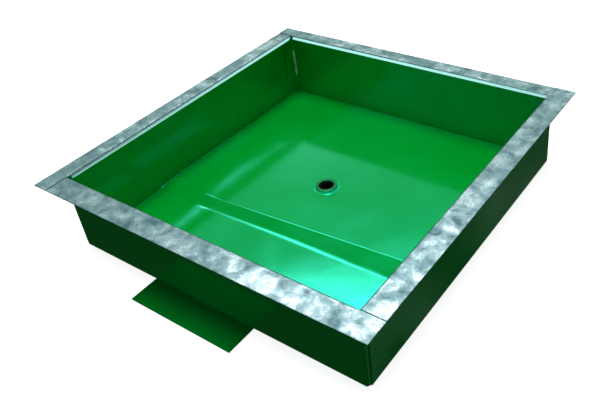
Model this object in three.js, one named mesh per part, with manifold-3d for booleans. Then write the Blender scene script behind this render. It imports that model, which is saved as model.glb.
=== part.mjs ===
// Oil drain pan folded from painted sheet steel: a square tray with a drain socket in its floor,
// a galvanised capping strip on each wall and a flat base strip that stands out in front as a foot.
// Units are millimetres, +Z is up. The origin is the middle of the tray on the surface it stands on.
// X runs along the front wall, Y runs from the front wall (-Y) to the back wall (+Y).
import * as THREE from 'three';
import { mergeVertices } from 'three/addons/utils/BufferGeometryUtils.js';
import Module from 'manifold-3d';

const wasm = await Module();
wasm.setup();

// Sheet and fits
const SHEET = 1.5; // thickness of every sheet part
const GAP = 0.3; // clearance between parts that touch
const INSIDE_RADIUS = 1.5; // inside radius of an ordinary fold
const FOLD_STEPS = 5; // facets in one fold
const CUT_MARGIN = 5; // how far a cutting tool runs past the metal

// Tray
const OPENING_HALF = 250; // half the clear width between the capping strips' flat faces
const RIM_TOP = 121.5; // height of the capping's upper face
const TAB_INSIDE = OPENING_HALF + SHEET + 0.7; // inner face of the corner tabs, clear of the lips' folds
const WALL_INSIDE = TAB_INSIDE + SHEET + GAP; // inner face of a wall, measured from the middle
const WALL_MIDDLE = WALL_INSIDE + SHEET / 2;
const WALL_OUTSIDE = WALL_INSIDE + SHEET;
const TOP_FLANGE = 16; // how far a wall's upper edge is folded outwards
const BOTTOM_RETURN = 20; // how far a wall's lower edge is folded inwards, with the wall itself
const CORNER_TAB = 26; // length of the tab that a wall sends round the corner
const LAP_SETBACK_TOP = 10; // the next wall starts this far from the corner at its upper edge
const LAP_SETBACK_BOTTOM = 6; // and this far at its lower edge

// Galvanised capping: how far each strip reaches out from the opening, and the lip inside
const RIM_REACH = { front: 35, right: 33, back: 25, left: 27 };
const LIP_DEPTH = 6.2;
const LIP_LEAN = 3.1; // how far the lip's lower edge stands in towards the middle
const RIM_SEAM = 0.9; // open joint between two strips

// Floor: it stands highest along the upper crease, drops down a short slope to the front part
// and falls gently to the back wall
const FLOOR_HALF = TAB_INSIDE - 0.5;
const FLOOR_REST = SHEET + GAP; // underside where the floor rests on the walls' lower returns
const FLOOR_STEP = 4.5; // height of the upper crease over the front part
const UPPER_CREASE = { y: -75, slope: 0.065, radius: 3 };
const LOWER_CREASE = { y: -102, slope: 0.033, radius: 40 };
const FLOOR_STEPS = 8; // facets across the width

// Base strip: runs under the whole tray and out in front of it
const DRAIN_X = -12; // the strip and the drain share this centre line
const DRAIN_Y = 22;
const STRIP_WIDTH = 180;
const STRIP_FRONT = -300;
const STRIP_BACK = WALL_OUTSIDE - BOTTOM_RETURN - GAP;

// Drain socket, seal and plug (3/4 inch pipe thread: 24.1 mm core, 14 turns to the inch)
const SOCKET_RADIUS = 17.5;
const SOCKET_BORE = 12.05;
const SOCKET_STANDS_UP = 5;
const SOCKET_BOTTOM = 0.2;
const SOCKET_CHAMFER = 1;
const SEAT_HEIGHT = 1.4;
const SEAT_RADIUS = 8.5;
const PLUG_RADIUS = SOCKET_BORE - GAP;
const PLUG_LENGTH = 6;
const PLUG_CHAMFER = 0.8;
const KEY_ACROSS_FLATS = 12;
const KEY_DEPTH = 4.5;
const SEAL_THICKNESS = 1.2;
const SEAL_BORE = 9;
const ROUND_STEPS = 48;

const FLOOR_LOW = FLOOR_REST + SHEET / 2; // mid-thickness heights of the floor
const FLOOR_HIGH = FLOOR_LOW + FLOOR_STEP;
const DRAIN_FALL = (DRAIN_Y - UPPER_CREASE.y) / (FLOOR_HALF - UPPER_CREASE.y);
const FLOOR_AT_DRAIN = FLOOR_HIGH - FLOOR_STEP * DRAIN_FALL + SHEET / 2;
const SOCKET_TOP = FLOOR_AT_DRAIN + SOCKET_STANDS_UP;

// Paint and metal
function paintedSteel() {
  return new THREE.MeshStandardMaterial({ color: 0x0a8f4e, roughness: 0.12, metalness: 0.1 });
}

function galvanisedSteel() {
  return new THREE.MeshStandardMaterial({ color: 0x9fb8b4, roughness: 0.35, metalness: 0.9 });
}

function blackenedSteel() {
  return new THREE.MeshStandardMaterial({ color: 0x15171a, roughness: 0.5, metalness: 0.7 });
}

function sealRubber() {
  return new THREE.MeshStandardMaterial({ color: 0x1b1b1b, roughness: 0.8, metalness: 0 });
}

// Closed geometry to manifold solid and back
function toSolid(geometry) {
  const bare = geometry.clone();
  bare.deleteAttribute('normal');
  bare.deleteAttribute('uv');
  const merged = mergeVertices(bare, 1e-4);
  return new wasm.Manifold(new wasm.Mesh({
    numProp: 3,
    vertProperties: Float32Array.from(merged.attributes.position.array),
    triVerts: Uint32Array.from(merged.index.array),
  }));
}

function toGeometry(solid) {
  const mesh = solid.getMesh();
  const geometry = new THREE.BufferGeometry();
  geometry.setAttribute('position', new THREE.BufferAttribute(mesh.vertProperties, 3));
  geometry.setIndex(new THREE.BufferAttribute(mesh.triVerts, 1));
  geometry.computeVertexNormals();
  return geometry;
}

function boxBetween(low, high) {
  const size = high.map((value, i) => value - low[i]);
  const geometry = new THREE.BoxGeometry(...size);
  geometry.translate(...low.map((value, i) => value + size[i] / 2));
  return geometry;
}

// Upright cylinder over (x, y)
function postBetween(radius, x, y, bottom, top) {
  const geometry = new THREE.CylinderGeometry(radius, radius, top - bottom, ROUND_STEPS);
  geometry.rotateX(Math.PI / 2);
  geometry.translate(x, y, (top + bottom) / 2);
  return geometry;
}

// Turned part about the Z axis: each point of the closed profile is [radius, height]
function turned(profile) {
  const points = [...profile, profile[0]].map(([r, z]) => new THREE.Vector2(r, z));
  const geometry = new THREE.LatheGeometry(points, ROUND_STEPS);
  geometry.rotateX(Math.PI / 2);
  return geometry;
}

// Outline of a folded sheet seen end on. corners lists the mid-thickness line as { at: [u, v], radius },
// where radius is the inside radius of the fold there; the first and last corners are the free edges.
function foldedOutline(corners) {
  const near = [];
  const far = [];
  const addStation = (point, direction) => {
    const normal = new THREE.Vector2(-direction.y, direction.x).multiplyScalar(SHEET / 2);
    near.push(point.clone().add(normal));
    far.push(point.clone().sub(normal));
  };
  const at = corners.map((corner) => new THREE.Vector2(...corner.at));
  const along = at.slice(1).map((point, i) => point.clone().sub(at[i]).normalize());
  addStation(at[0], along[0]);
  for (let i = 1; i < at.length - 1; i += 1) {
    const before = along[i - 1];
    const after = along[i];
    const turn = Math.atan2(before.cross(after), before.dot(after));
    const radius = corners[i].radius + SHEET / 2;
    const start = at[i].clone().addScaledVector(before, -radius * Math.tan(Math.abs(turn) / 2));
    const side = Math.sign(turn);
    const centre = start.clone().add(new THREE.Vector2(-before.y, before.x).multiplyScalar(side * radius));
    for (let step = 0; step <= FOLD_STEPS; step += 1) {
      const angle = (turn * step) / FOLD_STEPS;
      const point = start.clone().rotateAround(centre, angle);
      addStation(point, before.clone().rotateAround(new THREE.Vector2(), angle));
    }
  }
  addStation(at[at.length - 1], along[along.length - 1]);
  return new THREE.Shape([...near, ...far.reverse()]);
}

// Extrudes an outline drawn as (distance out from the middle, height) along the front side,
// from x = start to x = end
function alongFront(outline, start, end) {
  const geometry = new THREE.ExtrudeGeometry(outline, { depth: end - start, bevelEnabled: false });
  const basis = new THREE.Matrix4().makeBasis(
    new THREE.Vector3(0, -1, 0),
    new THREE.Vector3(0, 0, 1),
    new THREE.Vector3(-1, 0, 0),
  );
  geometry.applyMatrix4(basis);
  geometry.translate(end, 0, 0);
  return geometry;
}

// Extrudes a plan outline upwards from z = bottom to z = top
function upwards(outline, bottom, top) {
  const geometry = new THREE.ExtrudeGeometry(outline, { depth: top - bottom, bevelEnabled: false });
  geometry.translate(0, 0, bottom);
  return geometry;
}

// One wall, drawn as the front one: folded outwards at the top, inwards at the bottom,
// and round the right-hand corner as a tab that the next wall laps over
function wallSolid() {
  const flangeMiddle = RIM_TOP - SHEET - GAP - SHEET / 2;
  const end = TAB_INSIDE + SHEET;
  const bendRoom = INSIDE_RADIUS + SHEET;
  const section = foldedOutline([
    { at: [WALL_OUTSIDE + TOP_FLANGE, flangeMiddle] },
    { at: [WALL_MIDDLE, flangeMiddle], radius: INSIDE_RADIUS },
    { at: [WALL_MIDDLE, SHEET / 2], radius: INSIDE_RADIUS },
    { at: [WALL_OUTSIDE - BOTTOM_RETURN, SHEET / 2] },
  ]);
  const corner = foldedOutline([
    { at: [end - 2 * bendRoom, -WALL_MIDDLE] },
    { at: [end - SHEET / 2, -WALL_MIDDLE], radius: INSIDE_RADIUS },
    { at: [end - SHEET / 2, -WALL_OUTSIDE + CORNER_TAB] },
  ]);
  const start = -WALL_OUTSIDE + LAP_SETBACK_BOTTOM;
  const sheet = toSolid(alongFront(section, start, end - bendRoom));
  const tab = toSolid(upwards(corner, bendRoom + GAP, RIM_TOP - LIP_DEPTH - GAP));
  return sheet
    .add(tab)
    .subtract(slantedStartCut())
    .subtract(returnStartCut())
    .subtract(topFlangeEndCut(end - bendRoom));
}

// Slants the edge that laps over the neighbour's tab
function slantedStartCut() {
  const left = -WALL_OUTSIDE - CUT_MARGIN;
  const outline = new THREE.Shape([
    new THREE.Vector2(left, -CUT_MARGIN),
    new THREE.Vector2(-WALL_OUTSIDE + LAP_SETBACK_BOTTOM, -CUT_MARGIN),
    new THREE.Vector2(-WALL_OUTSIDE + LAP_SETBACK_BOTTOM, 0),
    new THREE.Vector2(-WALL_OUTSIDE + LAP_SETBACK_TOP, RIM_TOP),
    new THREE.Vector2(left, RIM_TOP),
  ]);
  const reach = WALL_OUTSIDE + TOP_FLANGE + CUT_MARGIN;
  const geometry = upwards(outline, 0, reach);
  geometry.rotateX(Math.PI / 2);
  return toSolid(geometry);
}

// Keeps the inward return clear of the neighbour's return at the starting corner
function returnStartCut() {
  const returnEdge = WALL_OUTSIDE - BOTTOM_RETURN;
  return toSolid(boxBetween(
    [-WALL_OUTSIDE - CUT_MARGIN, -WALL_INSIDE + INSIDE_RADIUS, -CUT_MARGIN],
    [-returnEdge + GAP, -returnEdge + CUT_MARGIN, 2 * SHEET],
  ));
}

// Trims the last of the outward flange, where the corner fold starts
function topFlangeEndCut(from) {
  return toSolid(boxBetween(
    [from, -WALL_OUTSIDE - TOP_FLANGE - CUT_MARGIN, RIM_TOP - LIP_DEPTH],
    [from + CORNER_TAB, -WALL_OUTSIDE + CORNER_TAB + CUT_MARGIN, RIM_TOP],
  ));
}

// Notch in the front wall's lower edge for the base strip
function stripNotch() {
  return toSolid(boxBetween(
    [DRAIN_X - STRIP_WIDTH / 2 - GAP, -WALL_OUTSIDE - CUT_MARGIN, -CUT_MARGIN],
    [DRAIN_X + STRIP_WIDTH / 2 + GAP, -WALL_OUTSIDE + BOTTOM_RETURN + CUT_MARGIN, SHEET + GAP],
  ));
}

// One capping strip, drawn as the front one. Its right-hand end covers the corner, where its lip
// stops short of the neighbour's, and its left-hand end butts against the neighbour.
function rimSolid(reach, endReach) {
  const middle = RIM_TOP - SHEET / 2;
  const lip = OPENING_HALF + SHEET / 2;
  const section = foldedOutline([
    { at: [OPENING_HALF + reach, middle] },
    { at: [lip, middle], radius: SHEET / 2 },
    { at: [lip - LIP_LEAN, RIM_TOP - LIP_DEPTH] },
  ]);
  const start = -OPENING_HALF + RIM_SEAM;
  const end = OPENING_HALF + endReach;
  const strip = toSolid(alongFront(section, start, end));
  const lipEnd = toSolid(boxBetween(
    [OPENING_HALF - 2 * LIP_LEAN, -OPENING_HALF - 2 * SHEET, RIM_TOP - LIP_DEPTH - CUT_MARGIN],
    [end + CUT_MARGIN, -OPENING_HALF + CUT_MARGIN, RIM_TOP - SHEET],
  ));
  return strip.subtract(lipEnd);
}

// How far a crease is moved along Y at x, for a point that lies at y on the centre line
function creaseShift(x, y) {
  const stations = [
    [-FLOOR_HALF, 0],
    [LOWER_CREASE.y, LOWER_CREASE.slope],
    [UPPER_CREASE.y, UPPER_CREASE.slope],
    [FLOOR_HALF, 0],
  ];
  const after = stations.findIndex(([station]) => y <= station);
  if (after <= 0) return 0;
  const [y0, slope0] = stations[after - 1];
  const [y1, slope1] = stations[after];
  return x * THREE.MathUtils.mapLinear(y, y0, y1, slope0, slope1);
}

// Moves geometry drawn in the (Y, height) plane and extruded along its own Z into place,
// so that it starts at x = start
function acrossFrom(geometry, start) {
  const basis = new THREE.Matrix4().makeBasis(
    new THREE.Vector3(0, 1, 0),
    new THREE.Vector3(0, 0, 1),
    new THREE.Vector3(1, 0, 0),
  );
  geometry.applyMatrix4(basis);
  geometry.translate(start, 0, 0);
  return geometry;
}

// Tapering side skirt that carries the raised part of the floor
function floorSkirt(side) {
  const front = UPPER_CREASE.y + side * UPPER_CREASE.slope * FLOOR_HALF;
  const outline = new THREE.Shape([
    new THREE.Vector2(front, FLOOR_REST),
    new THREE.Vector2(FLOOR_HALF, FLOOR_REST),
    new THREE.Vector2(FLOOR_HALF, FLOOR_LOW),
    new THREE.Vector2(front, FLOOR_HIGH - SHEET / 4),
  ]);
  const geometry = new THREE.ExtrudeGeometry(outline, { depth: SHEET, bevelEnabled: false });
  return toSolid(acrossFrom(geometry, side > 0 ? FLOOR_HALF - SHEET : -FLOOR_HALF));
}

function floorSolid() {
  const section = foldedOutline([
    { at: [-FLOOR_HALF, FLOOR_LOW] },
    { at: [LOWER_CREASE.y, FLOOR_LOW], radius: LOWER_CREASE.radius },
    { at: [UPPER_CREASE.y, FLOOR_HIGH], radius: UPPER_CREASE.radius },
    { at: [FLOOR_HALF, FLOOR_LOW] },
  ]);
  const sheet = new THREE.ExtrudeGeometry(section, {
    depth: 2 * FLOOR_HALF,
    steps: FLOOR_STEPS,
    bevelEnabled: false,
  });
  acrossFrom(sheet, -FLOOR_HALF);
  const position = sheet.attributes.position;
  for (let i = 0; i < position.count; i += 1) {
    const y = position.getY(i);
    position.setY(i, y + creaseShift(position.getX(i), y));
  }
  const hole = toSolid(postBetween(SOCKET_RADIUS + GAP, DRAIN_X, DRAIN_Y, 0, SOCKET_TOP));
  return toSolid(sheet).add(floorSkirt(-1)).add(floorSkirt(1)).subtract(hole);
}

function baseStripSolid() {
  const plate = toSolid(boxBetween(
    [DRAIN_X - STRIP_WIDTH / 2, STRIP_FRONT, 0],
    [DRAIN_X + STRIP_WIDTH / 2, STRIP_BACK, SHEET],
  ));
  const hole = toSolid(postBetween(SOCKET_RADIUS + GAP, DRAIN_X, DRAIN_Y, -CUT_MARGIN, CUT_MARGIN));
  return plate.subtract(hole);
}

// Threaded socket welded into the floor, with a seat for the seal at its lower end
function socketGeometry() {
  return turned([
    [SEAT_RADIUS, SOCKET_BOTTOM],
    [SOCKET_RADIUS, SOCKET_BOTTOM],
    [SOCKET_RADIUS, SOCKET_TOP - SOCKET_CHAMFER],
    [SOCKET_RADIUS - SOCKET_CHAMFER, SOCKET_TOP],
    [SOCKET_BORE, SOCKET_TOP],
    [SOCKET_BORE, SEAT_HEIGHT],
    [SEAT_RADIUS, SEAT_HEIGHT],
  ]);
}

function sealGeometry() {
  const bottom = SEAT_HEIGHT + GAP;
  return turned([
    [SEAL_BORE, bottom],
    [PLUG_RADIUS, bottom],
    [PLUG_RADIUS, bottom + SEAL_THICKNESS],
    [SEAL_BORE, bottom + SEAL_THICKNESS],
  ]);
}

// Headless plug with a hexagon socket for the key
function plugSolid() {
  const bottom = SEAT_HEIGHT + 2 * GAP + SEAL_THICKNESS;
  const top = bottom + PLUG_LENGTH;
  const body = toSolid(turned([
    [0, bottom],
    [PLUG_RADIUS - PLUG_CHAMFER, bottom],
    [PLUG_RADIUS, bottom + PLUG_CHAMFER],
    [PLUG_RADIUS, top - PLUG_CHAMFER],
    [PLUG_RADIUS - PLUG_CHAMFER, top],
    [0, top],
  ]));
  const keyRadius = KEY_ACROSS_FLATS / Math.sqrt(3);
  const key = new THREE.CylinderGeometry(keyRadius, keyRadius, KEY_DEPTH + CUT_MARGIN, 6);
  key.rotateX(Math.PI / 2);
  key.translate(0, 0, top - KEY_DEPTH + (KEY_DEPTH + CUT_MARGIN) / 2);
  return body.subtract(toSolid(key));
}

function named(name, geometry, material) {
  const mesh = new THREE.Mesh(geometry, material);
  mesh.name = name;
  return mesh;
}

const SIDES = ['front', 'right', 'back', 'left'];

function buildSides() {
  const group = new THREE.Group();
  SIDES.forEach((side, i) => {
    const quarter = new THREE.Group();
    quarter.rotation.z = (i * Math.PI) / 2;
    const wall = side === 'front' ? wallSolid().subtract(stripNotch()) : wallSolid();
    const next = SIDES[(i + 1) % SIDES.length];
    quarter.add(named(`wall_${side}`, toGeometry(wall), paintedSteel()));
    quarter.add(named(
      `rim_${side}`,
      toGeometry(rimSolid(RIM_REACH[side], RIM_REACH[next])),
      galvanisedSteel(),
    ));
    group.add(quarter);
  });
  return group;
}

function buildDrain() {
  const group = new THREE.Group();
  group.position.set(DRAIN_X, DRAIN_Y, 0);
  group.add(named('drain_socket', socketGeometry(), paintedSteel()));
  group.add(named('drain_seal', sealGeometry(), sealRubber()));
  group.add(named('drain_plug', toGeometry(plugSolid()), blackenedSteel()));
  return group;
}

const pan = new THREE.Group();
pan.add(buildSides());
pan.add(named('floor', toGeometry(floorSolid()), paintedSteel()));
pan.add(named('base_strip', toGeometry(baseStripSolid()), paintedSteel()));
pan.add(buildDrain());

export default pan;
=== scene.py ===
import math

import bpy
from mathutils import Matrix, Vector, noise


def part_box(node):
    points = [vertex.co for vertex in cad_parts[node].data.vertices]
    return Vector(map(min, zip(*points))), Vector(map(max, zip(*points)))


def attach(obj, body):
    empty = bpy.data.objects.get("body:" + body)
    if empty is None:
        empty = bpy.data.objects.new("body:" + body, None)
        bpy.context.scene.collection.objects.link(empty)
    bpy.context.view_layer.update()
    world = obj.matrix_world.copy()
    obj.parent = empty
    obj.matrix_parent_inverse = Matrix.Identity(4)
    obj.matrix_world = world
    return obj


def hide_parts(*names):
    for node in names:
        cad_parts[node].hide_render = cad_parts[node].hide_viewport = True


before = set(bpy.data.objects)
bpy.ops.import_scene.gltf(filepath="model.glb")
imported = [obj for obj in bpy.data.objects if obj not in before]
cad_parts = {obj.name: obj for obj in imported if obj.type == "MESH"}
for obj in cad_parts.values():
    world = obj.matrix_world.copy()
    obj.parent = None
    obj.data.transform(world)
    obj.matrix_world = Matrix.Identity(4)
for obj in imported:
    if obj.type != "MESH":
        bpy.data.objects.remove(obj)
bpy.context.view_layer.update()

# Sheet-metal oil drain pan: every sheet is rebuilt with smooth folds, rounded edges and the slight
# waviness of hand-folded metal. Units are metres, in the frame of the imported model.

SIDES = ["front", "right", "back", "left"]  # each is the one before it, turned 90 degrees about Z

# Sheet and fits
SHEET = 0.0015
GAP = 0.0003
FOLD_RADIUS = 0.00225  # of the mid-thickness line
FOLD_STEPS = 8
EDGE_ROUND = 0.0003
PANEL_STEP = 0.008  # mesh spacing on flat stretches

# Walls
TAB_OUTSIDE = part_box("wall_front")[1].x
WALL_MIDDLE = TAB_OUTSIDE + GAP + SHEET / 2
FLANGE_EDGE = -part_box("wall_front")[0].y
FLANGE_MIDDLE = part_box("wall_front")[1].z - SHEET / 2
TAB_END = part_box("wall_front")[1].y
RETURN_DEPTH = 0.020
LAP_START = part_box("wall_front")[0].x
LAP_SLANT = 0.004  # how much further back the lapping edge starts at the rim
WALL_WAVE = 0.0006
WALL_WAVE_SEED = 3.43

# Capping strips
OPENING_HALF = 0.250
RIM_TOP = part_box("rim_front")[1].z
RIM_SEAM = 0.0009
LIP_DEPTH = 0.0062
LIP_LEAN = 0.0031
LIP_RADIUS = 0.0026
RIM_SAG = 0.0007

# Floor
FLOOR_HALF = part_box("floor")[1].x
FLOOR_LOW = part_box("floor")[0].z + SHEET / 2
FLOOR_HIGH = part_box("floor")[1].z - SHEET / 2
LOWER_CREASE = {"y": -0.102, "slope": 0.033, "radius": 0.060}
UPPER_CREASE = {"y": -0.075, "slope": 0.065, "radius": 0.012}
RIDGE = {"x": -0.200, "height": 0.0034, "foot": 0.058, "end": 0.115}  # buckle along the left wall
FLOOR_WAVE = 0.0005
FLOOR_STEP = 0.006
CREASE_ROOM = 0.006  # half width of the finer mesh at the lower crease
DRAIN_ROOM = 0.024  # half of the square around the drain that a ring patch fills

# Weld beads
BEAD_SIDES = 10
BEAD_STEP = 0.004
FLOOR_BEAD = 0.0013
CORNER_BEAD = 0.0014
SCRAPED_BEAD = 0.0020

# Drain
DRAIN = (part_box("drain_socket")[0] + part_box("drain_socket")[1]) / 2
SOCKET_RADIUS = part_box("drain_socket")[1].x - DRAIN.x
SOCKET_BORE = 0.01205
SOCKET_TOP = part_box("drain_socket")[1].z
SOCKET_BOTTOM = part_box("drain_socket")[0].z
SEAT_RADIUS = 0.0085
SEAT_HEIGHT = 0.0014
ROUND_STEPS = 72
KEY_SIZE = 0.0120  # across the flats
KEY_DEPTH = 0.0045

# Camera
CAMERA_PLACE = Vector((0.5884, -0.6606, 0.6767))
CAMERA_AZIMUTH = math.radians(38.15)
CAMERA_ELEVATION = math.radians(34.39)
CAMERA_ROLL = math.radians(-6.05)
CAMERA_LENS = 42.61
CAMERA_SENSOR = 36
CAMERA_SHIFT = (-0.0855, -0.0818)


# ---------------------------------------------------------------- meshes

def new_piece(name, vertices, faces):
    mesh = bpy.data.meshes.new(name)
    mesh.from_pydata(vertices, [], faces)
    mesh.update()
    mesh.shade_smooth()
    piece = bpy.data.objects.new(name, mesh)
    bpy.context.scene.collection.objects.link(piece)
    return piece


def grid_piece(name, rows, columns, place, keep=None):
    """A piece with a corner at place(row, column) for each pair of stations. keep says which cells exist."""
    numbers = {}
    vertices = []
    faces = []

    def corner(row, column):
        if (row, column) not in numbers:
            numbers[row, column] = len(vertices)
            vertices.append(place(row, column))
        return numbers[row, column]

    for row in range(rows - 1):
        for column in range(columns - 1):
            if keep is None or keep(row, column):
                ring = [(row, column), (row, column + 1), (row + 1, column + 1), (row + 1, column)]
                faces.append([corner(*at) for at in ring])
    return new_piece(name, vertices, faces)


def folded_line(corners, steps):
    """Mid-thickness line of a folded sheet seen end on. corners are (point, fold radius)."""
    line = [Vector(corners[0][0])]
    for (before, _), (at, radius), (after, _) in zip(corners, corners[1:], corners[2:]):
        a = (Vector(at) - Vector(before)).normalized()
        b = (Vector(after) - Vector(at)).normalized()
        turn = math.atan2(a.x * b.y - a.y * b.x, a.dot(b))
        start = Vector(at) - a * radius * math.tan(abs(turn) / 2)
        centre = start + Vector((-a.y, a.x)) * math.copysign(radius, turn)
        for step in range(steps + 1):
            spoke = start - centre
            spoke.rotate(Matrix.Rotation(turn * step / steps, 2))
            line.append(centre + spoke)
    line.append(Vector(corners[-1][0]))
    return line


def with_steps(line, step, stops=()):
    """The line with extra points, so that no stretch is longer than step. stops are extra points on it."""
    marked = [line[0]]
    for a, b in zip(line, line[1:]):
        length = (b - a).length
        inside = [p for p in stops if (p - a).dot(b - a) > 0 and (p - b).dot(a - b) > 0]
        inside = [p for p in inside if abs((p - a).cross(b - a)) < 1e-7 * length]
        marked += sorted(inside, key=lambda p: (p - a).length)
        marked.append(b)
    fine = [marked[0]]
    for a, b in zip(marked, marked[1:]):
        count = max(1, math.ceil((b - a).length / step - 1e-6))
        fine += [a.lerp(b, i / count) for i in range(1, count + 1)]
    return fine


def ripple(point, scale, seed):
    """Smooth noise from about -1 to 1."""
    return noise.noise(Vector(point) * scale + Vector((seed, 2.7 * seed, -1.3 * seed)))


def fade(distance, reach):
    """0 at distance 0, 1 from reach on, smooth in between."""
    t = min(max(distance / reach, 0), 1)
    return t * t * (3 - 2 * t)


def as_sheet(piece, edge=EDGE_ROUND):
    """Gives a mid-thickness surface its thickness and rounded edges."""
    solid = piece.modifiers.new("thickness", "SOLIDIFY")
    solid.thickness = SHEET
    solid.offset = 0
    solid.use_even_offset = True
    rounding = piece.modifiers.new("edges", "BEVEL")
    rounding.width = edge
    rounding.segments = 2
    rounding.limit_method = "ANGLE"
    rounding.angle_limit = math.radians(50)
    piece.modifiers.new("normals", "WEIGHTED_NORMAL")
    return piece


def settle(piece, body, slot, material, *nodes):
    """Gives the piece its material, makes it ride on its body and hides the CAD nodes it stands for. The slot
    is not used.
    """
    piece.data.materials.append(material)
    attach(piece, body)
    if nodes:
        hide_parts(*nodes)
    return piece


def turn_side(piece, turns):
    piece.data.transform(Matrix.Rotation(turns * math.pi / 2, 4, "Z"))


def local_box(node, turns):
    """The node's box, with its side turned round to the front."""
    back = Matrix.Rotation(-turns * math.pi / 2, 4, "Z")
    a, b = (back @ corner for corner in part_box(node))
    return Vector(map(min, a, b)), Vector(map(max, a, b))


# ---------------------------------------------------------------- walls

def build_wall(side, turns):
    """One wall, drawn as the front one: flange at the top, return at the bottom, tab round the corner."""
    section = folded_line([
        ((FLANGE_EDGE, FLANGE_MIDDLE), 0),
        ((WALL_MIDDLE, FLANGE_MIDDLE), FOLD_RADIUS),
        ((WALL_MIDDLE, SHEET / 2), FOLD_RADIUS),
        ((WALL_MIDDLE + SHEET / 2 - RETURN_DEPTH, SHEET / 2), 0),
    ], FOLD_STEPS)
    tab_low = 2 * SHEET + GAP
    tab_high = RIM_TOP - LIP_DEPTH - GAP
    stops = [Vector((WALL_MIDDLE, tab_low)), Vector((WALL_MIDDLE, tab_high))]
    section = with_steps(section, PANEL_STEP, stops)

    tab_middle = TAB_OUTSIDE - SHEET / 2
    return_start = -WALL_MIDDLE - SHEET / 2 + RETURN_DEPTH + GAP
    strip_low, strip_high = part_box("base_strip")
    notch = (strip_low.x - GAP, strip_high.x + GAP) if side == "front" else (0, 0)
    plan = folded_line([
        ((LAP_START, -WALL_MIDDLE), 0),
        ((tab_middle, -WALL_MIDDLE), FOLD_RADIUS),
        ((tab_middle, TAB_END), 0),
    ], FOLD_STEPS)
    stops = [Vector((x, -WALL_MIDDLE)) for x in (return_start, *notch)]
    plan = with_steps(plan, PANEL_STEP, stops)
    panel_end = tab_middle - FOLD_RADIUS

    def in_panel(row):
        return abs(section[row].x - WALL_MIDDLE) < 1e-6

    def place(row, column):
        out, z = section[row]
        x, y = plan[column]
        if x > panel_end + 1e-6:
            return (x, y, z)
        x += LAP_SLANT * z / RIM_TOP * (1 - fade(x - LAP_START, 0.03))
        calm = fade(z, 0.03) * fade(FLANGE_MIDDLE - z, 0.03)
        calm *= fade(x - LAP_START, 0.06) * fade(panel_end - x, 0.06)
        wave = calm * WALL_WAVE * ripple((x, 0, z), 9, WALL_WAVE_SEED + turns)
        return (x, -out - wave, z)

    def keep(row, column):
        x = (plan[column].x + plan[column + 1].x) / 2
        z = (section[row].y + section[row + 1].y) / 2
        in_tab = x > panel_end
        if in_tab:
            return in_panel(row) and in_panel(row + 1) and tab_low < z < tab_high
        low_fold = z < SHEET + GAP and section[row].x < WALL_MIDDLE + 1e-6
        if low_fold and notch[0] < x < notch[1]:
            return False
        in_return = abs(section[row].y - SHEET / 2) < 1e-6
        return not (in_return and x < return_start)

    piece = grid_piece(f"wall_{side}_sheet", len(section), len(plan), place, keep)
    turn_side(piece, turns)
    as_sheet(piece)
    # The walls' green is the floor's paint painted darker: painted shade
    return settle(piece, "pan", "green_enamel", SHADED_WALL_ENAMEL, f"wall_{side}")


# ---------------------------------------------------------------- capping strips

def build_rim(side, turns):
    """One capping strip, drawn as the front one, with its lip leaning in over the opening."""
    low, high = local_box(f"rim_{side}", turns)
    reach = -low.y
    middle = RIM_TOP - SHEET / 2
    lip = OPENING_HALF + SHEET / 2
    section = folded_line([
        ((reach, middle), 0),
        ((lip, middle), LIP_RADIUS),
        ((lip - LIP_LEAN, RIM_TOP - LIP_DEPTH + SHEET / 4), 0),
    ], FOLD_STEPS)
    section = with_steps(section, 0.004)
    start = -OPENING_HALF + RIM_SEAM
    lip_end = OPENING_HALF - 2 * LIP_LEAN
    plan = [Vector((start, 0)), Vector((lip_end, 0)), Vector((high.x, 0))]
    plan = with_steps(plan, 0.005)

    def place(row, column):
        out, z = section[row]
        x = plan[column].x
        overhang = fade(out - OPENING_HALF, reach - OPENING_HALF)
        sag = RIM_SAG * overhang * (0.5 + 0.5 * ripple((x, 0, 0), 14, 20 + turns))
        sag += 0.0003 * overhang * (1 + ripple((x, out, 0), 45, 30 + turns)) / 2
        edge = 0.0005 * overhang * ripple((x, 0, 0), 22, 40 + turns)
        past_lip = x > lip_end + 1e-6
        if past_lip:
            z = middle
        return (x, -out + abs(edge), z - sag)

    def keep(row, column):
        in_lip = section[row + 1].y < RIM_TOP - SHEET
        return not (in_lip and plan[column].x > lip_end - 1e-6)

    piece = grid_piece(f"rim_{side}_sheet", len(section), len(plan), place, keep)
    turn_side(piece, turns)
    as_sheet(piece)
    return settle(piece, "pan", "galvanised_steel", GALVANISED, f"rim_{side}")


# ---------------------------------------------------------------- floor

CREASES = [
    (-FLOOR_HALF, 0),
    (LOWER_CREASE["y"], LOWER_CREASE["slope"]),
    (UPPER_CREASE["y"], UPPER_CREASE["slope"]),
    (FLOOR_HALF, 0),
]


def slanted(x, y):
    """Where a point at y on the centre line goes at x, because the creases aren't square to the walls."""
    for (y0, slope0), (y1, slope1) in zip(CREASES, CREASES[1:]):
        if y <= y1:
            break
    t = (y - y0) / (y1 - y0)
    return y + x * (slope0 + (slope1 - slope0) * t)


def straightened(x, y):
    """The reverse of slanted()."""
    for (y0, slope0), (y1, slope1) in zip(CREASES, CREASES[1:]):
        if y <= y1 + x * slope1:
            break
    return y0 + (y - y0 - x * slope0) / (1 + x * (slope1 - slope0) / (y1 - y0))


def rounded_kink(distance, slope_before, slope_after, radius):
    """Height over a kink whose two slopes meet at distance 0 and height 0."""
    half = radius * abs(slope_after - slope_before) / 2
    if distance < -half:
        return slope_before * distance
    if distance > half:
        return slope_after * distance
    bend = (slope_after - slope_before) * (distance + half) ** 2 / (4 * half)
    return slope_before * distance + bend


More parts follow.
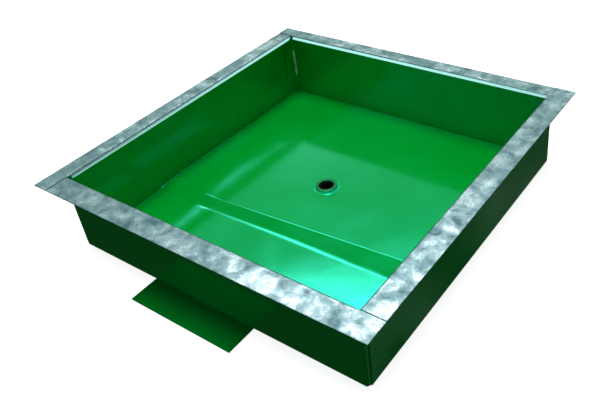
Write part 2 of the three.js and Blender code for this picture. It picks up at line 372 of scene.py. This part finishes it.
def floor_height(x, y):
    """Mid-thickness height of the floor."""
    along = straightened(x, y)
    rise = (FLOOR_HIGH - FLOOR_LOW) / (UPPER_CREASE["y"] - LOWER_CREASE["y"])
    fall = (FLOOR_LOW - FLOOR_HIGH) / (FLOOR_HALF - UPPER_CREASE["y"])
    if along < (LOWER_CREASE["y"] + UPPER_CREASE["y"]) / 2:
        height = FLOOR_LOW + rounded_kink(along - LOWER_CREASE["y"], 0, rise, LOWER_CREASE["radius"])
    else:
        height = FLOOR_HIGH + rounded_kink(along - UPPER_CREASE["y"], rise, fall, UPPER_CREASE["radius"])
    ridge = 1 - fade(abs(x - RIDGE["x"]), RIDGE["foot"])
    height += RIDGE["height"] * ridge * fade(RIDGE["end"] - y, 0.03)
    calm = fade(FLOOR_HALF - abs(x), 0.05) * fade(FLOOR_HALF - abs(y), 0.05)
    height += FLOOR_WAVE * calm * ripple((x, y, 0), 7, 50)
    return height


def spread(stations, step):
    """Numbers from the first station to the last, with each station in and no gap over step."""
    line = with_steps([Vector((s, 0)) for s in stations], step)
    return [p.x for p in line]


def build_floor():
    """The floor: a grid with its rows along the creases, and rings of cells round the drain."""
    x_range = (DRAIN.x - DRAIN_ROOM, DRAIN.x + DRAIN_ROOM)
    y_range = (DRAIN.y - DRAIN_ROOM, DRAIN.y + DRAIN_ROOM)
    low, high = LOWER_CREASE["y"], UPPER_CREASE["y"]
    sharp = 0.002  # half width of the finest mesh, at the upper crease
    xs = spread([-FLOOR_HALF, *x_range, FLOOR_HALF], FLOOR_STEP)
    ys = spread([-FLOOR_HALF, low - CREASE_ROOM], FLOOR_STEP)
    ys += spread([low - CREASE_ROOM, low + CREASE_ROOM], 0.0008)[1:]
    ys += spread([low + CREASE_ROOM, high - sharp], 0.004)[1:]
    ys += spread([high - sharp, high + sharp], 0.0004)[1:]
    ys += spread([high + sharp, *y_range, FLOOR_HALF], FLOOR_STEP)[1:]

    vertices = []
    numbers = {}
    faces = []
    for row, along in enumerate(ys):
        for column, x in enumerate(xs):
            numbers[row, column] = len(vertices)
            y = slanted(x, along)
            vertices.append((x, y, floor_height(x, y)))

    def inside(values, i, limits):
        return limits[0] - 1e-6 < values[i] and values[i + 1] < limits[1] + 1e-6

    for row in range(len(ys) - 1):
        for column in range(len(xs) - 1):
            if inside(xs, column, x_range) and inside(ys, row, y_range):
                continue
            ring = [(row, column), (row, column + 1), (row + 1, column + 1), (row + 1, column)]
            faces.append([numbers[at] for at in ring])

    rows = [i for i, y in enumerate(ys) if y_range[0] - 1e-6 < y < y_range[1] + 1e-6]
    columns = [i for i, x in enumerate(xs) if x_range[0] - 1e-6 < x < x_range[1] + 1e-6]
    border = [(rows[0], c) for c in columns[:-1]]
    border += [(r, columns[-1]) for r in rows[:-1]]
    border += [(rows[-1], c) for c in reversed(columns[1:])]
    border += [(r, columns[0]) for r in reversed(rows[1:])]
    outer = [numbers[at] for at in border]
    rings = 6
    for step in range(1, rings + 1):
        inner = []
        for number in [numbers[at] for at in border]:
            edge = Vector(vertices[number][:2])
            spoke = (edge - DRAIN.xy).normalized() * (SOCKET_RADIUS + GAP)
            at = edge.lerp(DRAIN.xy + spoke, step / rings)
            inner.append(len(vertices))
            vertices.append((at.x, at.y, floor_height(at.x, at.y)))
        for i in range(len(outer)):
            j = (i + 1) % len(outer)
            faces.append([outer[i], outer[j], inner[j], inner[i]])
        outer = inner
    piece = new_piece("floor_sheet", vertices, faces)
    as_sheet(piece)
    return settle(piece, "pan", "green_enamel", ENAMEL, "floor")


# ---------------------------------------------------------------- seams

def bead(name, path, radius, seed):
    """A weld bead along a path of points: a round tube of uneven thickness with closed ends."""
    vertices = []
    faces = []
    for i, at in enumerate(path):
        ahead = path[min(i + 1, len(path) - 1)] - path[max(i - 1, 0)]
        ahead.normalize()
        aside = ahead.orthogonal().normalized()
        other = ahead.cross(aside)
        size = radius * (1 + 0.25 * ripple(at, 60, seed) + 0.12 * ripple(at, 300, seed))
        for k in range(BEAD_SIDES):
            angle = 2 * math.pi * k / BEAD_SIDES
            vertices.append(at + (aside * math.cos(angle) + other * math.sin(angle)) * size)
    for i in range(len(path) - 1):
        for k in range(BEAD_SIDES):
            a, b = i * BEAD_SIDES + k, i * BEAD_SIDES + (k + 1) % BEAD_SIDES
            faces.append([a, b, b + BEAD_SIDES, a + BEAD_SIDES])
    faces.append(list(range(BEAD_SIDES))[::-1])
    last = (len(path) - 1) * BEAD_SIDES
    faces.append([last + k for k in range(BEAD_SIDES)])
    return new_piece(name, vertices, faces)


def build_floor_seam(side, turns):
    """Weld bead where the floor meets one wall, drawn along the front."""
    turned = Matrix.Rotation(turns * math.pi / 2, 3, "Z")
    reach = FLOOR_HALF + 0.0008
    path = []
    for x in spread([-reach, reach], BEAD_STEP):
        at = turned @ Vector((x, -reach, 0))
        x_in = max(-FLOOR_HALF, min(FLOOR_HALF, at.x))
        y_in = max(-FLOOR_HALF, min(FLOOR_HALF, at.y))
        at.z = floor_height(x_in, y_in) + SHEET / 2
        path.append(at)
    piece = bead(f"floor_seam_{side}", path, FLOOR_BEAD, 60 + turns)
    return settle(piece, "pan", "green_enamel", ENAMEL)


def build_corner_seam(side, turns):
    """Upright bead in the inner corner at the right-hand end of a wall drawn as the front one.

    The one at the end of the back wall is thicker and scraped, its scrape painted near-white as a painted
    highlight. Each is set in far enough from the sheets not to come out on their other side.
    """
    scraped_and_highlit = side == "back"
    radius = SCRAPED_BEAD if scraped_and_highlit else CORNER_BEAD
    inset = 0.8 * radius
    corner = TAB_OUTSIDE - SHEET - inset
    turned = Matrix.Rotation(turns * math.pi / 2, 3, "Z")
    low, high = 0.006, RIM_TOP - SHEET - 0.0015
    path = []
    for z in spread([low, high], BEAD_STEP):
        wander = 0.0003 * ripple((0, 0, z), 40, 70 + turns)
        path.append(turned @ Vector((corner - wander, -WALL_MIDDLE + SHEET / 2 + inset, z)))
    piece = bead(f"corner_seam_{side}", path, radius, 80 + turns)
    return settle(piece, "pan", "green_enamel", SCRAPED_HIGHLIT_ENAMEL if scraped_and_highlit else SHADED_WALL_ENAMEL)


# ---------------------------------------------------------------- drain

def turned_piece(name, rings, centre, closed):
    """Turned part about an upright axis. Each ring is (radius or radius by angle, height)."""
    vertices = []
    faces = []
    for radius, z in rings:
        for k in range(ROUND_STEPS):
            angle = 2 * math.pi * k / ROUND_STEPS
            r = radius(angle) if callable(radius) else radius
            vertices.append((centre.x + r * math.cos(angle), centre.y + r * math.sin(angle), z))
    pairs = list(zip(range(len(rings)), range(1, len(rings))))
    if closed:
        pairs.append((len(rings) - 1, 0))
    else:
        faces.append(list(range(ROUND_STEPS))[::-1])
        last = (len(rings) - 1) * ROUND_STEPS
        faces.append([last + k for k in range(ROUND_STEPS)])
    for i, j in pairs:
        for k in range(ROUND_STEPS):
            m = (k + 1) % ROUND_STEPS
            faces.append([i * ROUND_STEPS + k, i * ROUND_STEPS + m, j * ROUND_STEPS + m, j * ROUND_STEPS + k])
    return new_piece(name, vertices, faces)


def rounded_profile(corners, radius, steps=4):
    """Closed profile of (radius, height) corners with each corner rounded off."""
    count = len(corners)
    points = []
    for i in range(count):
        before, at, after = (Vector(corners[(i + k) % count]) for k in (-1, 0, 1))
        a = (at - before).normalized()
        b = (after - at).normalized()
        for step in range(steps + 1):
            t = step / steps
            start = at - a * radius
            end = at + b * radius
            points.append(tuple(start.lerp(at, t).lerp(at.lerp(end, t), t)))
    return points


def build_socket():
    """The drain's collar, with the step inside that the seal sits on."""
    profile = rounded_profile([
        (SEAT_RADIUS, SOCKET_BOTTOM),
        (SOCKET_RADIUS, SOCKET_BOTTOM),
        (SOCKET_RADIUS, SOCKET_TOP),
        (SOCKET_BORE, SOCKET_TOP),
        (SOCKET_BORE, SEAT_HEIGHT),
        (SEAT_RADIUS, SEAT_HEIGHT),
    ], 0.0005)
    piece = turned_piece("drain_collar", profile, DRAIN, True)
    # The collar is given the same darker green
    return settle(piece, "pan", "green_enamel", DARK_AND_SHADED_ENAMEL, "drain_socket")


def build_drain_weld():
    """Bead between the collar and the floor: a gentle skirt that turns up against the collar."""
    reach, skirt, skirt_slope, climb = 0.0034, 0.6, 0.42, 0.0034
    into_collar, into_floor = 0.0006, 0.0008
    steps = 10
    top = floor_height(DRAIN.x, DRAIN.y) + SHEET / 2
    profile = []
    for step in range(steps + 1):
        t = step / steps
        rise = skirt_slope * reach * min(t, skirt)
        if t > skirt:
            rise += (climb - rise) * ((t - skirt) / (1 - skirt)) ** 1.5
        profile.append((SOCKET_RADIUS + reach * (1 - t), top + rise))
    profile.append((SOCKET_RADIUS - into_collar, top + climb))
    profile.append((SOCKET_RADIUS - into_collar, top - into_floor))
    profile.append((SOCKET_RADIUS + reach, top - into_floor))
    rings = []
    for radius, z in profile:
        def uneven(angle, radius=radius):
            wobble = ripple((math.cos(angle), math.sin(angle), 0), 3.0, 90)
            return radius + (radius - SOCKET_RADIUS) * 0.15 * wobble
        rings.append((uneven, z))
    piece = turned_piece("drain_weld", rings, DRAIN, True)
    # The bead's pale green is a painted highlight
    return settle(piece, "pan", "green_enamel", HIGHLIGHT_WELD_ENAMEL)


def build_seal():
    """The ring under the plug."""
    low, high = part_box("drain_seal")
    inner, outer = 0.009, high.x - DRAIN.x
    profile = rounded_profile([(inner, low.z), (outer, low.z), (outer, high.z), (inner, high.z)], 0.0003)
    piece = turned_piece("drain_seal_ring", profile, DRAIN, True)
    return settle(piece, "seal", "seal_rubber", RUBBER, "drain_seal")


def hexagon(across_flats):
    """Radius of a hexagon by angle."""
    def radius(angle):
        return across_flats / 2 / math.cos((angle + math.pi / 6) % (math.pi / 3) - math.pi / 6)
    return radius


def build_plug():
    """The headless screw plug with its hexagon socket."""
    low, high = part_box("drain_plug")
    outer = high.x - DRAIN.x
    chamfer = 0.0008
    mouth = 0.0003  # depth of the socket's slanted mouth
    rings = [
        (outer - chamfer, low.z),
        (outer, low.z + chamfer),
        (outer, high.z - chamfer),
        (outer - chamfer, high.z),
        (hexagon(KEY_SIZE + 0.0004), high.z),
        (hexagon(KEY_SIZE), high.z - mouth),
        (hexagon(KEY_SIZE), high.z - KEY_DEPTH),
    ]
    piece = turned_piece("drain_plug_body", rings, DRAIN, False)
    piece.modifiers.new("normals", "WEIGHTED_NORMAL")
    return settle(piece, "plug", "blackened_steel", BLACKENED, "drain_plug")


# ---------------------------------------------------------------- base strip

def build_base_strip():
    """The flat strip under the tray, a little wavy where it stands out in front."""
    low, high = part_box("base_strip")
    xs = spread([low.x, high.x], 0.01)
    ys = spread([low.y, low.y + 0.05, high.y], 0.01)

    def place(row, column):
        x, y = xs[column], ys[row]
        lift = 0.0002 * (1 - fade(y - low.y, 0.05)) * (1 + ripple((x, y, 0), 20, 95))
        return (x, y, SHEET / 2 + lift)

    piece = grid_piece("base_strip_sheet", len(ys), len(xs), place)
    as_sheet(piece)
    # The strip's darker green is painted shade, standing in for the shadow under the rim and front wall
    return settle(piece, "pan", "green_enamel", DARK_AND_SHADED_ENAMEL, "base_strip")


# ---------------------------------------------------------------- materials

def make_material(name):
    material = bpy.data.materials.new(name)
    material.use_nodes = True
    nodes = material.node_tree.nodes
    shader = nodes["Principled BSDF"]
    return material, material.node_tree, shader


def add(tree, kind, inputs=None, **settings):
    """Adds a node, sets its properties and fills its inputs with values or other sockets."""
    node = tree.nodes.new(kind)
    for key, value in settings.items():
        setattr(node, key, value)
    for key, value in (inputs or {}).items():
        if isinstance(value, bpy.types.NodeSocket):
            tree.links.new(value, node.inputs[key])
        else:
            node.inputs[key].default_value = value
    return node


def noise_of(tree, place, scale, detail=2.0, distortion=0.0, roughness=0.5):
    inputs = {"Vector": place, "Scale": scale, "Detail": detail, "Distortion": distortion,
              "Roughness": roughness}
    return add(tree, "ShaderNodeTexNoise", inputs).outputs["Fac"]


def ramp(tree, factor, stops):
    """Colour ramp with stops of (position, colour)."""
    node = add(tree, "ShaderNodeValToRGB", {"Fac": factor})
    band = node.color_ramp
    while len(band.elements) < len(stops):
        band.elements.new(0.5)
    for element, (position, colour) in zip(band.elements, stops):
        element.position = position
        element.color = (*colour, 1)
    return node.outputs["Color"]


def spread_value(tree, value, low, high, to_low, to_high):
    inputs = {"Value": value, "From Min": low, "From Max": high, "To Min": to_low, "To Max": to_high}
    return add(tree, "ShaderNodeMapRange", inputs).outputs["Result"]


def mixed(tree, factor, a, b):
    node = add(tree, "ShaderNodeMix", data_type="RGBA")
    for index, value in ((0, factor), (6, a), (7, b)):
        if isinstance(value, bpy.types.NodeSocket):
            tree.links.new(value, node.inputs[index])
        else:
            node.inputs[index].default_value = value if index == 0 else (*value, 1)
    return node.outputs[2]


def stretched(tree, place, scale):
    return add(tree, "ShaderNodeMapping", {"Vector": place, "Scale": scale}).outputs["Vector"]


def bump(tree, height, distance, strength, below=None):
    inputs = {"Height": height, "Distance": distance, "Strength": strength}
    if below is not None:
        inputs["Normal"] = below
    return add(tree, "ShaderNodeBump", inputs).outputs["Normal"]


# Greens of the enamel: the floor's; the walls', darker as painted shade; the base strip's and collar's,
# darker still, painted shade on the strip; and the drain bead's, pale as a painted highlight
DEEP_GREEN = [(0.3, (0.0, 0.440, 0.030)), (0.7, (0.0, 0.500, 0.046))]
# Walls: the floor's paint, painted darker as painted shade
SHADED_WALL_GREEN = [(0.3, (0.0, 0.345, 0.022)), (0.7, (0.0, 0.395, 0.034))]
# Base strip and collar: darker still; on the base strip it is painted shade for the shadow under the rim and
# front wall
DARK_AND_SHADED_GREEN = [(0.3, (0.0, 0.210, 0.014)), (0.7, (0.0, 0.245, 0.022))]
# Drain bead: pale and bright, a painted highlight in place of the bead's glint
PAINTED_HIGHLIGHT_GREEN = [(0.3, (0.01, 0.780, 0.360)), (0.7, (0.03, 0.920, 0.470))]


def enamel(name, polish, shades=DEEP_GREEN, scraped_and_highlit=False):
    """High-gloss green enamel with orange peel, a few dust specks and slightly uneven colour."""
    material, tree, shader = make_material(name)
    coordinates = add(tree, "ShaderNodeTexCoord").outputs["Object"]
    off_axis = {"Vector": coordinates, "Location": (0.0137, 0.0071, 0.0)}
    place = add(tree, "ShaderNodeMapping", off_axis).outputs["Vector"]
    cloud = noise_of(tree, place, 7, detail=3)
    green = ramp(tree, cloud, shades)
    specks = noise_of(tree, place, 420, detail=2)
    speck_mask = spread_value(tree, specks, 0.70, 0.76, 0.0, 0.5)
    colour = mixed(tree, speck_mask, green, (0.01, 0.16, 0.05))
    # Scraped streak painted near-white green: partly a scrape, partly a painted highlight for light the dark
    # corner does not get
    if scraped_and_highlit:
        streak = noise_of(tree, stretched(tree, place, (260, 260, 45)), 1.0, detail=3)
        height = add(tree, "ShaderNodeSeparateXYZ", {"Vector": place}).outputs["Z"]
        band = spread_value(tree, height, 0.035, 0.045, 0.0, 1.0)
        band_top = spread_value(tree, height, 0.085, 0.095, 1.0, 0.0)
        both = add(tree, "ShaderNodeMath", {0: band, 1: band_top}, operation="MULTIPLY").outputs[0]
        bare_and_highlight = spread_value(tree, streak, 0.32, 0.40, 0.0, 1.0)
        bare_and_highlight = add(tree, "ShaderNodeMath", {0: bare_and_highlight, 1: both}, operation="MULTIPLY").outputs[0]
        colour = mixed(tree, bare_and_highlight, colour, (0.85, 0.98, 0.86))
    tree.links.new(colour, shader.inputs["Base Color"])
    gloss = noise_of(tree, place, 16, detail=4)
    tree.links.new(spread_value(tree, gloss, 0.3, 0.7, 0.08, 0.15), shader.inputs["Roughness"])
    shader.inputs["IOR"].default_value = 1.9
    shader.inputs["Specular IOR Level"].default_value = polish
    shader.inputs["Specular Tint"].default_value = (0.0, 1.0, 0.74, 1)
    wave = bump(tree, noise_of(tree, place, 28, detail=2), 0.0010, 0.10)
    peel = bump(tree, noise_of(tree, place, 700, detail=1), 0.0001, 0.12, wave)
    grit = bump(tree, speck_mask, 0.0001, 0.25, peel)
    tree.links.new(grit, shader.inputs["Normal"])
    return material


def galvanised():
    """Galvanised sheet: cloudy patches, smudges, fine scratches and small pits. The lips are painted bright
    teal, a painted highlight.
    """
    material, tree, shader = make_material("galvanised_steel")
    place = add(tree, "ShaderNodeTexCoord").outputs["Object"]
    cloud = noise_of(tree, place, 42, detail=8, distortion=0.35, roughness=0.68)
    patches = noise_of(tree, place, 11, detail=4, roughness=0.6)
    scratches = noise_of(tree, stretched(tree, place, (60, 900, 60)), 1.0, detail=3)
    scratches_across = noise_of(tree, stretched(tree, place, (900, 60, 60)), 1.0, detail=3)
    pale = ramp(tree, cloud, [
        (0.36, (0.08, 0.19, 0.20)),
        (0.50, (0.24, 0.43, 0.43)),
        (0.64, (0.52, 0.76, 0.75)),
    ])
    smudge = spread_value(tree, patches, 0.44, 0.62, 0.0, 0.65)
    colour = mixed(tree, smudge, pale, (0.11, 0.25, 0.26))
    pits = noise_of(tree, place, 330, detail=1)
    pit_mask = spread_value(tree, pits, 0.70, 0.76, 0.0, 0.6)
    colour = mixed(tree, pit_mask, colour, (0.04, 0.07, 0.07))
    height = add(tree, "ShaderNodeSeparateXYZ", {"Vector": place}).outputs["Z"]
    # Painted highlight: the lip and its fold are painted bright teal
    lip = spread_value(tree, height, RIM_TOP - 0.0019, RIM_TOP - 0.0011, 1.0, 0.0)
    colour = mixed(tree, lip, colour, (0.42, 0.88, 0.84))
    tree.links.new(colour, shader.inputs["Base Color"])
    shader.inputs["Metallic"].default_value = 1.0
    dull = spread_value(tree, cloud, 0.3, 0.7, 0.40, 0.20)
    tree.links.new(spread_value(tree, lip, 0.0, 1.0, dull, 0.14), shader.inputs["Roughness"])
    first = bump(tree, noise_of(tree, place, 40, detail=3), 0.0012, 0.10)
    second = bump(tree, scratches, 0.00012, 0.20, first)
    third = bump(tree, scratches_across, 0.00012, 0.20, second)
    fourth = bump(tree, cloud, 0.0004, 0.15, third)
    tree.links.new(fourth, shader.inputs["Normal"])
    return material


def blackened():
    """Dull black phosphated steel."""
    material, tree, shader = make_material("blackened_steel")
    place = add(tree, "ShaderNodeTexCoord").outputs["Object"]
    cloud = noise_of(tree, place, 300, detail=4)
    colour = ramp(tree, cloud, [(0.35, (0.0008, 0.0008, 0.0008)), (0.65, (0.003, 0.003, 0.003))])
    tree.links.new(colour, shader.inputs["Base Color"])
    shader.inputs["Specular IOR Level"].default_value = 0.03
    tree.links.new(spread_value(tree, cloud, 0.3, 0.7, 0.60, 0.80), shader.inputs["Roughness"])
    tree.links.new(bump(tree, noise_of(tree, place, 900), 0.0001, 0.3), shader.inputs["Normal"])
    return material


def rubber():
    """Matt black rubber."""
    material, tree, shader = make_material("seal_rubber")
    place = add(tree, "ShaderNodeTexCoord").outputs["Object"]
    cloud = noise_of(tree, place, 250, detail=3)
    colour = ramp(tree, cloud, [(0.35, (0.010, 0.010, 0.011)), (0.65, (0.028, 0.028, 0.030))])
    tree.links.new(colour, shader.inputs["Base Color"])
    tree.links.new(spread_value(tree, cloud, 0.3, 0.7, 0.65, 0.85), shader.inputs["Roughness"])
    tree.links.new(bump(tree, noise_of(tree, place, 1200), 0.0001, 0.3), shader.inputs["Normal"])
    return material


ENAMEL = enamel("green_enamel", 1.0)
SHADED_WALL_ENAMEL = enamel("shaded_wall_enamel", 0.45, shades=SHADED_WALL_GREEN)
SCRAPED_HIGHLIT_ENAMEL = enamel("scraped_highlit_enamel", 0.45, shades=SHADED_WALL_GREEN, scraped_and_highlit=True)
DARK_AND_SHADED_ENAMEL = enamel("dark_and_shaded_enamel", 0.60, shades=DARK_AND_SHADED_GREEN)
HIGHLIGHT_WELD_ENAMEL = enamel("highlight_weld_enamel", 0.30, shades=PAINTED_HIGHLIGHT_GREEN)
GALVANISED = galvanised()
BLACKENED = blackened()
RUBBER = rubber()


# ---------------------------------------------------------------- studio

def build_stage():
    """A large pale floor. Glossy surfaces see the sky's dim lower half in its place."""
    size, level = 12.0, -0.0002
    corners = [(-size, -size, level), (size, -size, level), (size, size, level), (-size, size, level)]
    floor = new_piece("stage_floor", corners, [[0, 1, 2, 3]])
    material, _, shader = make_material("stage_paper")
    shader.inputs["Base Color"].default_value = (0.92, 0.92, 0.92, 1)
    shader.inputs["Roughness"].default_value = 1.0
    shader.inputs["Specular IOR Level"].default_value = 0.0
    shader.inputs["Emission Color"].default_value = (1, 1, 1, 1)
    shader.inputs["Emission Strength"].default_value = 0.85
    floor.data.materials.append(material)
    floor.visible_glossy = False
    floor.visible_diffuse = False


def build_sky():
    """Soft studio light: a lamp overhead, a bright window and broad glows at the back left, and
    narrower or weaker glows on the other sides. Azimuths count from +Y towards -X."""
    world = bpy.data.worlds.new("sky")
    bpy.context.scene.world = world
    world.use_nodes = True
    tree = world.node_tree
    background = tree.nodes["Background"]
    direction = add(tree, "ShaderNodeTexCoord").outputs["Generated"]
    height = add(tree, "ShaderNodeSeparateXYZ", {"Vector": direction}).outputs["Z"]

    def math_node(operation, a, b=0.0):
        return add(tree, "ShaderNodeMath", {0: a, 1: b}, operation=operation).outputs[0]

    def soft_step(value, low, high, to_low, to_high):
        inputs = {"Value": value, "From Min": low, "From Max": high,
                  "To Min": to_low, "To Max": to_high}
        node = add(tree, "ShaderNodeMapRange", inputs, interpolation_type="SMOOTHSTEP")
        return node.outputs["Result"]

    def towards(azimuth):
        """Cosine of the angle on the compass to an azimuth, counted from +Y towards -X."""
        a = math.radians(azimuth)
        aim = Vector((-math.sin(a), math.cos(a), 0))
        inputs = {0: direction, 1: aim}
        node = add(tree, "ShaderNodeVectorMath", inputs, operation="DOT_PRODUCT")
        flat = math_node("SQRT", math_node("SUBTRACT", 1.0, math_node("MULTIPLY", height, height)))
        return math_node("DIVIDE", node.outputs["Value"], math_node("MAXIMUM", flat, 0.01))

    def rise(low, high):
        """1 above the high elevation, 0 below the low one."""
        low, high = math.sin(math.radians(low)), math.sin(math.radians(high))
        return soft_step(height, low, high, 0.0, 1.0)

    def fall(low, high):
        """1 below the low elevation, 0 above the high one."""
        low, high = math.sin(math.radians(low)), math.sin(math.radians(high))
        return soft_step(height, low, high, 1.0, 0.0)

    def within(azimuth, full, none):
        """1 up to full degrees from the azimuth, 0 beyond none degrees from it."""
        low, high = math.cos(math.radians(none)), math.cos(math.radians(full))
        return soft_step(towards(azimuth), low, high, 0.0, 1.0)

    def patch(strength, *masks):
        """Strength times all the masks."""
        value = strength
        for mask in masks:
            value = math_node("MULTIPLY", mask, value)
        return value

    def disc(azimuth, elevation, full, none):
        """1 up to full degrees from the direction, 0 beyond none degrees from it."""
        a, e = math.radians(azimuth), math.radians(elevation)
        aim = Vector((-math.sin(a) * math.cos(e), math.cos(a) * math.cos(e), math.sin(e)))
        node = add(tree, "ShaderNodeVectorMath", {0: direction, 1: aim}, operation="DOT_PRODUCT")
        low, high = math.cos(math.radians(none)), math.cos(math.radians(full))
        return soft_step(node.outputs["Value"], low, high, 0.0, 1.0)

    window = patch(1.0, rise(41.5, 46), fall(46.5, 50), within(38, 12, 26))
    mottle = spread_value(tree, noise_of(tree, direction, 5, detail=4), 0.42, 0.62, 0.0, 1.0)
    lights = [
        patch(0.035, rise(-1, 3)),  # all the sky above the horizon
        patch(1.00, rise(12, 20), fall(29, 35), within(38, 40, 72)),  # broad, low at the back left
        patch(0.38, rise(28, 33), fall(44, 50), within(38, 30, 60)),  # weaker, above that
        patch(7.50, window),
        patch(12.0, disc(0, 90, 7, 16)),  # lamp straight overhead
        patch(1.30, disc(50, 64, 5, 9)),  # small lamp, high at the back left
        patch(1.00, rise(8, 14), fall(22, 28), within(-55, 14, 26)),  # low at the back right
        patch(1.00, rise(14, 20), fall(28, 34), within(149, 14, 24)),  # low at the front left
        patch(0.12, rise(6, 14), fall(40, 52), within(-142, 60, 100)),  # weak, on the camera's side
        patch(0.12, mottle, fall(-12, -4), within(-40, 35, 55)),  # mottled, below the horizon
    ]
    total = lights[0]
    for light in lights[1:]:
        total = math_node("ADD", total, light)
    daylight = mixed(tree, window, (1.0, 1.0, 1.0), (1.25, 0.95, 1.06))
    tree.links.new(daylight, background.inputs["Color"])
    tree.links.new(math_node("ADD", total, 0.015), background.inputs["Strength"])


def build_camera():
    """Camera at the front right, looking down into the tray."""
    back = Vector((
        math.sin(CAMERA_AZIMUTH) * math.cos(CAMERA_ELEVATION),
        -math.cos(CAMERA_AZIMUTH) * math.cos(CAMERA_ELEVATION),
        math.sin(CAMERA_ELEVATION),
    ))
    level = Vector((0, 0, 1)).cross(back).normalized()
    upright = back.cross(level)
    right = level * math.cos(CAMERA_ROLL) + upright * math.sin(CAMERA_ROLL)
    up = upright * math.cos(CAMERA_ROLL) - level * math.sin(CAMERA_ROLL)
    data = bpy.data.cameras.new("camera")
    data.lens = CAMERA_LENS
    data.sensor_width = CAMERA_SENSOR
    data.shift_x, data.shift_y = CAMERA_SHIFT
    camera = bpy.data.objects.new("camera", data)
    turn = Matrix((right, up, back)).transposed().to_4x4()
    camera.matrix_world = Matrix.Translation(CAMERA_PLACE) @ turn
    bpy.context.scene.collection.objects.link(camera)
    bpy.context.scene.camera = camera


for turns, side in enumerate(SIDES):
    build_wall(side, turns)
    build_rim(side, turns)
    build_floor_seam(side, turns)
    build_corner_seam(side, turns)
build_floor()
build_base_strip()
build_socket()
build_drain_weld()
build_seal()
build_plug()
build_stage()
build_sky()
build_camera()
bpy.context.scene.view_settings.view_transform = "Standard"
